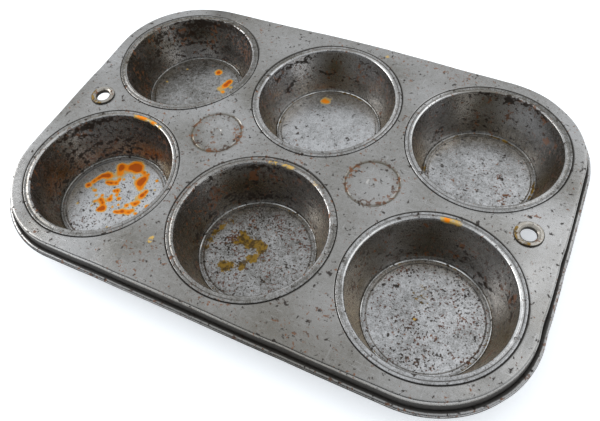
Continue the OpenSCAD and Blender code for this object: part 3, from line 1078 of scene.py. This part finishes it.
def bare_metal(s, light, dark, contrast, cloud, mottle, grain):
    """From dull dark to pale, cloudy and grainy."""
    shade = s.add(s.times(s.step(cloud, 0.3, 0.7), 0.30), s.times(s.step(mottle, 0.3, 0.7), 0.38))
    shade = s.add(shade, s.times(s.step(grain, 0.32, 0.68), 0.32))
    tone = s.math("ADD", s.stored("light"), s.times(s.add(shade, -0.5), contrast), clamp=True)
    return s.mix(tone, dark, light)


def pitted(s, colour, fine):
    """Small ragged pits, closer together where the sheet is worn."""
    patch = s.noise(s.mm, 12, 2)
    level = s.add(s.times(s.stored("speck"), 0.15), s.times(patch, 0.14))
    pits = s.step(s.add(fine, level), 0.765, 0.80)
    pit_colour = s.mix(s.step(patch, 0.42, 0.6), *PIT_COLOURS)
    return s.mix(s.times(pits, 0.88), colour, pit_colour), pits


def browned(s, colour):
    """Red-brown mottling."""
    blotch = s.noise(s.scaled(s.mm, (1, 1, 0.8)), 2.0, 3, 0.6, 0.2)
    drift = s.noise(s.mm, 9, 2)
    spread = s.add(s.times(blotch, 0.8), s.times(drift, 0.2))
    brown = s.step(s.add(spread, s.times(s.stored("umber"), 0.175)), 0.62, 0.675)
    brown_colour = s.mix(s.step(drift, 0.42, 0.6), *BROWN_COLOURS)
    return s.mix(s.times(brown, 0.8), colour, brown_colour), brown


def burnt(s, colour):
    """Black burnt-on mottling."""
    soot = s.noise(s.scaled(s.mm, (1, 1, 1.4)), 2.6, 3, 0.6, 0.3)
    black = s.step(s.add(soot, s.times(s.stored("char"), 0.24)), 0.61, 0.68)
    return s.mix(s.times(black, 0.9), colour, SOOT_COLOUR), black


def stained(s, colour, torn, mottle):
    """Olive-brown stains."""
    ochre = s.step(s.ragged("ochre", torn, 2.2), 0.38, 0.60)
    ochre_colour = s.mix(s.step(mottle, 0.42, 0.6), *OCHRE_COLOURS)
    return s.mix(s.times(ochre, 0.93), colour, ochre_colour), ochre


def rusted(s, colour, torn):
    """Rust: a yellow halo, orange, and a red-brown core."""
    field = s.ragged("rust", torn, 0.65)
    halo = s.step(field, 0.22, 0.36)
    body = s.step(field, 0.44, 0.56)
    colour = s.mix(s.times(halo, 0.75), colour, RUST_HALO)
    colour = s.mix(body, colour, RUST_BODY)
    return s.mix(s.step(field, 0.72, 1.0), colour, RUST_CORE), halo, body


def tinplate(name, light, dark, contrast, edge_tint):
    """Aged tin: cloudy grey metal with fine scratches, brown pits, burnt patches, stains and rust, and the
    painted highlights and shade that the stored marks ask for.
    """
    s = Surface(name)
    cloud = s.noise(s.mm, 18, 4, 0.6)
    mottle = s.noise(s.mm, 2.4, 4, 0.65)
    grain = s.noise(s.mm, 0.6, 3, 0.7)
    fine = s.noise(s.mm, 1.1, 2, 0.5)
    torn = s.noise(s.mm, 1.6, 4, 0.65)
    scratch = scratches(s)

    colour = bare_metal(s, light, dark, contrast, cloud, mottle, grain)
    colour = s.mix(s.times(scratch, 0.30), colour, SCRATCH_COLOUR)
    # Painted highlights on lips, foot lines and eyelet crests, with rubbed wear and pale flecks, made paler
    # and glossier
    shine = s.step(s.ragged("bright", fine, 0.5), 0.3, 0.9)
    colour = s.mix(s.times(shine, 0.85), colour, RUBBED_AND_HIGHLIGHT_COLOUR)
    # The brown veil: baked-on grease, and painted shade on the cups' back walls
    veil = s.times(s.stored("veil"), s.step(cloud, 0.2, 0.75, 0.7, 1.0))
    colour = s.mix(veil, colour, GREASE_AND_SHADE_COLOUR)
    colour, pits = pitted(s, colour, fine)
    colour, brown = browned(s, colour)
    colour, black = burnt(s, colour)
    colour, ochre = stained(s, colour, torn, mottle)
    colour, halo, body = rusted(s, colour, torn)
    # Grime, and painted shade in seams, grooves, the eyelets' bores and down the skirt
    grime = s.step(s.ragged("grime", mottle, 0.5), 0.3, 0.8)
    colour = s.mix(s.times(grime, 0.88), colour, GRIME_AND_SHADE_COLOUR)
    s.shade("Base Color", colour)

    dull = s.most(s.most(s.times(pits, 0.8), s.times(black, 0.7)), s.most(body, s.times(ochre, 0.7)))
    dull = s.most(s.most(dull, s.times(grime, 0.8)), s.most(s.times(brown, 0.6), s.times(halo, 0.7)))
    s.shade("Metallic", s.blend(dull, 0.96, 0.1))
    s.shade("Specular IOR Level", 0.3)
    s.shade("Specular Tint", (*edge_tint, 1))
    sheen = s.add(0.15, s.add(s.times(mottle, 0.16), s.times(grain, 0.08)))
    sheen = s.blend(shine, sheen, 0.2)
    s.shade("Roughness", s.blend(dull, sheen, 0.68))

    height = s.add(s.times(grain, 0.35), s.times(mottle, 1.0))
    height = s.add(height, s.times(scratch, -0.25))
    height = s.add(height, s.times(pits, -0.9))
    height = s.add(height, s.times(s.most(body, s.times(black, 0.5)), 1.2))
    height = s.times(height, s.blend(shine, 1.0, 0.15))
    s.shade("Normal", s.bump(height, 0.035, 0.7))
    return s.material


def floor_paper():
    s = Surface("studio_floor")
    speck = s.noise(s.mm, 40, 2)
    colour = s.mix(speck, (0.86, 0.87, 0.885), (0.89, 0.90, 0.91))
    s.shade("Base Color", colour)
    s.shade("Roughness", 0.9)
    s.shade("Emission Color", (0.92, 0.96, 1.0, 1))
    s.shade("Emission Strength", 0.5)
    return s.material


# ---- Putting it together ----


def place(piece, node, material, slot):
    piece.data.materials.append(material)
    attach(piece, "root")
    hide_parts(node)


plate_metal = tinplate("aged_plate", (0.425, 0.420, 0.416), (0.220, 0.210, 0.190), 0.6, (1.0, 0.97, 0.92))
cup_metal = tinplate("aged_cups", (0.540, 0.540, 0.545), (0.140, 0.135, 0.125), 1.1, (0.80, 0.66, 0.46))
eyelet_metal = tinplate("eyelet_metal", (0.50, 0.475, 0.44), (0.25, 0.22, 0.175), 0.8, (1.0, 0.97, 0.92))
wire_metal = tinplate("wire_steel", (0.30, 0.29, 0.27), (0.14, 0.125, 0.11), 1.0, (1.0, 0.97, 0.92))

place(make_plate(), "plate", plate_metal, "plate_tinplate")
place(make_wire(), "rim_wire", wire_metal, "rim_wire_steel")
for cup_name in CUPS:
    place(make_cup(cup_name), cup_name, cup_metal, "cup_tinplate")
for eyelet_name in EYELETS:
    place(make_eyelet(eyelet_name), eyelet_name, eyelet_metal, "eyelet_metal")


# The floor's side, in metres
FLOOR_SIZE = 6.0


def make_floor():
    mesh = bpy.data.meshes.new("studio_floor")
    steps = 24
    line = np.linspace(-FLOOR_SIZE / 2, FLOOR_SIZE / 2, steps + 1)
    points = [(x, y, 0) for y in line for x in line]
    n = steps + 1
    starts = [j * n + i for j in range(steps) for i in range(steps)]
    faces = [(k, k + 1, k + n + 1, k + n) for k in starts]
    mesh.from_pydata(points, [], faces)
    floor = add_object("studio_floor", mesh)
    floor.data.materials.append(floor_paper())


def make_light(name, place_mm, target_mm, size_mm, power, colour=(1, 1, 1)):
    data = bpy.data.lights.new(name, "AREA")
    data.shape = "RECTANGLE"
    data.size, data.size_y = size_mm[0] * MM, size_mm[1] * MM
    data.energy = power
    data.color = colour
    lamp = add_object(name, data)
    lamp.location = Vector(place_mm) * MM
    lamp.rotation_euler = (Vector(target_mm) - Vector(place_mm)).to_track_quat("-Z", "Y").to_euler()


CAMERA_PLACE = (112.7, -177.1, 260.5 + PLATE_TOP)
CAMERA_AIM = (5.1, -4.6, PLATE_TOP)
CAMERA_ROLL = 7.9
LENS = 39.2
SHIFT = (0.0064, -0.074)


def make_camera():
    """Above the front right of the tin, looking down and back to the left, over the whole of it."""
    data = bpy.data.cameras.new("camera")
    data.lens = LENS
    data.sensor_width = 36
    data.shift_x, data.shift_y = SHIFT
    camera = add_object("camera", data)
    place_at, aim_at = Vector(CAMERA_PLACE), Vector(CAMERA_AIM)
    level = (aim_at - place_at).to_track_quat("-Z", "Y").to_matrix()
    camera.matrix_world = Matrix.Translation(place_at * MM) @ level.to_4x4() @ Matrix.Rotation(
        math.radians(-CAMERA_ROLL), 4, "Z")
    bpy.context.scene.camera = camera


def make_world():
    """A soft white tent, open and darker towards the front, where the camera stands."""
    world = bpy.data.worlds.new("studio")
    world.use_nodes = True
    nodes = Nodes(world.node_tree)
    background = nodes.tree.nodes["Background"]
    background.inputs["Color"].default_value = (0.93, 0.965, 1.0, 1)
    towards = nodes.node("ShaderNodeVectorMath", operation="DOT_PRODUCT")
    towards.inputs[1].default_value = Vector((0.0, 0.75, 0.66)).normalized()
    nodes.link(nodes.node("ShaderNodeTexCoord").outputs["Generated"], towards.inputs[0])
    level = nodes.step(towards.outputs["Value"], -0.5, 0.35, 0.04, 0.95)
    # The camera itself sees the open side as pale as the rest of the studio
    seen = nodes.most(nodes.node("ShaderNodeLightPath").outputs["Is Camera Ray"], level)
    nodes.link(seen, background.inputs["Strength"])
    bpy.context.scene.world = world


make_floor()
make_world()
make_light("back_right_softbox", (480, 430, 760), (0, 0, 0), (700, 700), 1.1)
make_light("left_softbox", (-900, -100, 480), (0, 0, 0), (600, 500), 4.0)
make_camera()
bpy.context.scene.view_settings.view_transform = "Standard"
